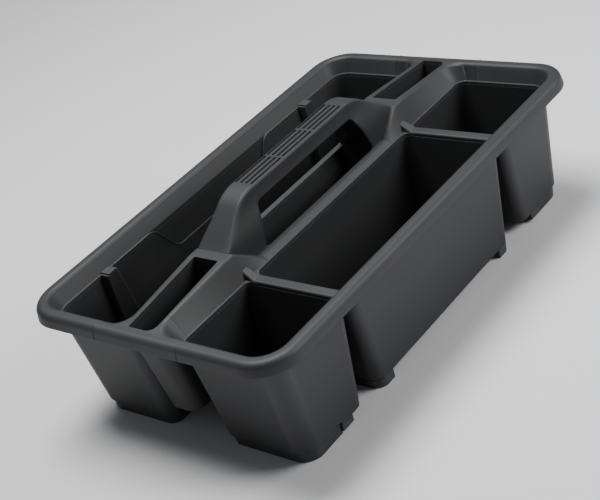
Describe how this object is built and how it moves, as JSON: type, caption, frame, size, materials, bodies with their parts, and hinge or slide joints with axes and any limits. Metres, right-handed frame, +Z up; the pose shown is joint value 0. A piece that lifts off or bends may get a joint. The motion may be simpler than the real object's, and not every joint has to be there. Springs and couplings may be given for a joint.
{
  "type": "tool storage caddy",
  "caption": "Open plastic tool caddy with a row of buckets, a long trough and a raised spine with tool slots and a bridge handle.",
  "frame": {"origin": "under the middle of the tray, in the plane of its feet", "axes": "+X along the tray, +Y across it from the bucket row to the trough, +Z up"},
  "size_m": [0.38, 0.235, 0.1326],
  "materials": {
    "body": "fine textured matte charcoal moulding"
  },
  "bodies": {
    "root": {"bridge_front": "body", "bridge_rear": "body", "bucket_front_near": "body", "bucket_middle_near": "body", "bucket_rear_near": "body", "collar_far": "body", "collar_near": "body", "divider_front": "body", "divider_rear": "body", "feet_middle_near": "body", "foot_front_far": "body", "foot_front_near": "body", "foot_rear_far": "body", "foot_rear_near": "body", "hand_pocket": "body", "handle_grip": "body", "handle_leg_front": "body", "handle_leg_rear": "body", "post_front": "body", "post_rear": "body", "rim_far": "body", "rim_near": "body", "slot_front": "body", "slot_rear": "body", "spine_front": "body", "spine_middle": "body", "spine_rear": "body", "trough_front": "body", "trough_middle": "body", "trough_rear": "body"}
  },
  "joints": []
}
